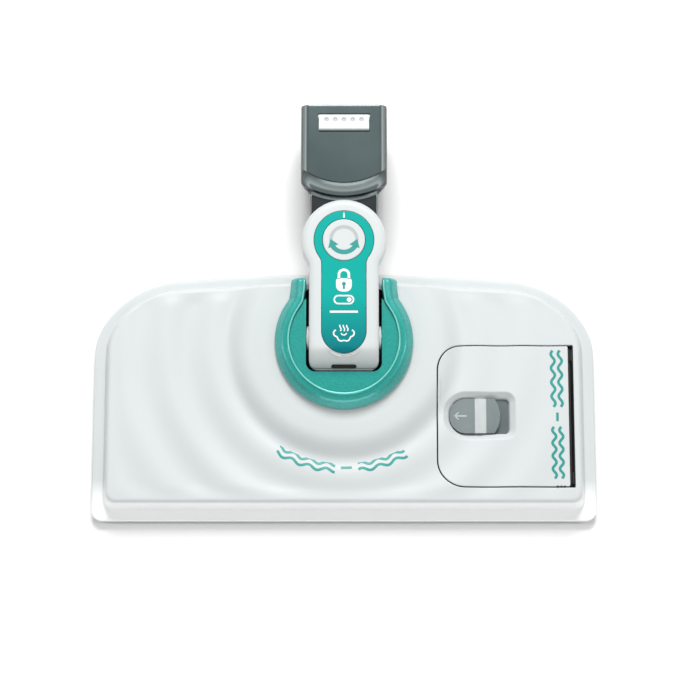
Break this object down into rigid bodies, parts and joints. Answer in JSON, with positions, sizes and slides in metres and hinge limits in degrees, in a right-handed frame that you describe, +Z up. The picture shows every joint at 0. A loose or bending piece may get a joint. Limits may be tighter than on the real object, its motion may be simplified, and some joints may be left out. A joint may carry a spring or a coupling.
{
  "type": "steam mop floor head",
  "caption": "Wide steam mop floor head with a tilting, swivelling neck, a release-button socket for the handle, and a hinged perfume compartment door with a sliding latch.",
  "frame": {"origin": "on the floor, on the underside of the sole, below the centre of the round yoke that carries the neck", "axes": "+X to the head's right, where the perfume door is; +Y to the rear, where the neck and socket lie; +Z up"},
  "size_m": [0.3, 0.2445, 0.048],
  "materials": {
    "white_abs": "moulded white ABS with a soft gloss",
    "pearl_teal": "teal plastic with a pearl metallic coat",
    "teal_label": "printed teal label sheet",
    "grey_plastic": "satin grey moulded plastic",
    "black_plastic": "black moulded plastic",
    "sole_plastic": "dark grey moulded sole",
    "hook_strip": "woven hook strip",
    "steel": "zinc-plated and spring steel",
    "brass": "turned brass",
    "silicone_red": "moulded silicone rubber",
    "silicone_clear": "translucent silicone tube",
    "felt": "pressed felt"
  },
  "bodies": {
    "base": {"sole_plate": "sole_plastic", "hook_strip_left": "hook_strip", "hook_strip_right": "hook_strip", "steam_manifold": "black_plastic", "manifold_gasket": "silicone_red", "upper_shell": "white_abs", "yoke_ring": "pearl_teal", "hinge_cradle": "black_plastic", "pivot_pin": "steel", "steam_trunnion": "brass", "base_steam_hose": "silicone_clear", "park_spring": "steel", "perfume_cup": "black_plastic", "perfume_pad": "felt", "door_hinge_pin": "steel", "sole_screw_1": "steel", "sole_screw_2": "steel", "sole_screw_3": "steel", "sole_screw_4": "steel", "sole_screw_5": "steel", "sole_screw_6": "steel", "cradle_screw_1": "steel", "cradle_screw_2": "steel", "yoke_screw_1": "steel", "yoke_screw_2": "steel"},
    "neck": {"neck_front_cover": "white_abs", "neck_rear_cover": "white_abs", "label_plate": "teal_label", "pivot_cap": "white_abs", "neck_screw_1": "steel", "neck_screw_2": "steel", "bush_left": "black_plastic", "bush_right": "black_plastic", "trunnion_seal": "silicone_red", "swivel_spindle": "brass", "spindle_clip": "steel", "neck_steam_tube": "silicone_clear"},
    "socket": {"socket_front_shell": "grey_plastic", "socket_rear_shell": "grey_plastic", "socket_screw_1": "steel", "socket_screw_2": "steel", "swivel_bush": "black_plastic", "wave_washer": "steel", "steam_nipple": "black_plastic", "nipple_seal": "silicone_red", "button_pin": "steel", "button_spring": "steel"},
    "button": {"release_button": "white_abs"},
    "door": {"perfume_door": "white_abs", "latch_spring": "steel"},
    "latch": {"latch_slider": "grey_plastic", "latch_retainer": "grey_plastic"}
  },
  "joints": [
    {"name": "neck_tilt", "type": "hinge", "parent": "base", "child": "neck", "pos_m": [0, 0.0015, 0.029], "axis": [1, 0, 0], "range_deg": [0, 90]},
    {"name": "socket_swivel", "type": "hinge", "parent": "neck", "child": "socket", "pos_m": [0, 0.057, 0.036], "axis": [0, 0, 1], "range_deg": [-75, 75]},
    {"name": "release_button_press", "type": "hinge", "parent": "socket", "child": "button", "pos_m": [0, 0.1323, 0.0434], "axis": [1, 0, 0], "range_deg": [0, 8], "stiffness_Nm_per_rad": 0.3, "springref_deg": -2.86, "deforming": ["button_spring"]},
    {"name": "door_hinge", "type": "hinge", "parent": "base", "child": "door", "pos_m": [0.13515, -0.04355, 0.0181], "axis": [0, 1, 0], "range_deg": [0, 105]},
    {"name": "latch_slide", "type": "slide", "parent": "door", "child": "latch", "axis": [1, 0, 0], "range_m": [0, 0.005], "stiffness_N_per_m": 200, "springref_m": -0.004, "deforming": ["latch_spring"]}
  ]
}
